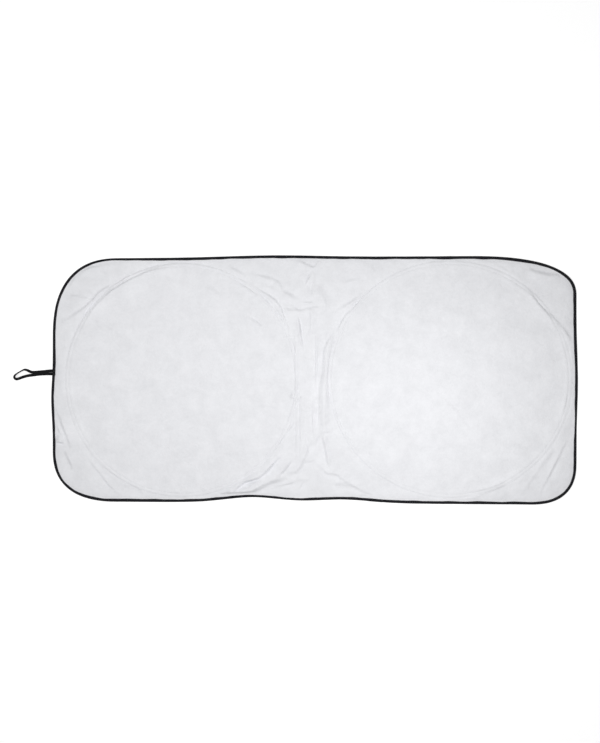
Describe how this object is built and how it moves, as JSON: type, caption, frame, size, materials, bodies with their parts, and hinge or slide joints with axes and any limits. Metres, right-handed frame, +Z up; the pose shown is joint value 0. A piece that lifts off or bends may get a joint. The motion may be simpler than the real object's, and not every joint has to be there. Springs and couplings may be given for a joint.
{
  "type": "windscreen sunshade",
  "caption": "Folding car windscreen sunshade: a white cloth panel held open by sprung wire hoops, bound in black, with an elastic loop that keeps it folded.",
  "frame": {"origin": "centre of the bound panel on the surface it lies on", "axes": "+X along the panel's length, away from the elastic loop; +Y across it; +Z up from the surface, out of the face that goes against the glass"},
  "size_m": [1.615, 0.7076, 0.0102],
  "materials": {
    "cloth": "matt white non-woven cloth, slightly cloudy",
    "binding": "matt black woven tape, folded and stitched",
    "channel_tape": "matt white non-woven tape, stitched along both edges",
    "spring_steel": "drawn spring steel wire, satin",
    "ferrule": "plated sheet, crimped",
    "elastic": "black woven flat elastic"
  },
  "bodies": {
    "root": {"sheet": "cloth", "edge_binding": "binding", "channel_tape_left": "channel_tape", "channel_tape_right": "channel_tape", "hoop_wire_left": "spring_steel", "hoop_wire_right": "spring_steel", "hoop_ferrule_left": "ferrule", "hoop_ferrule_right": "ferrule", "elastic_loop": "elastic"}
  },
  "joints": []
}
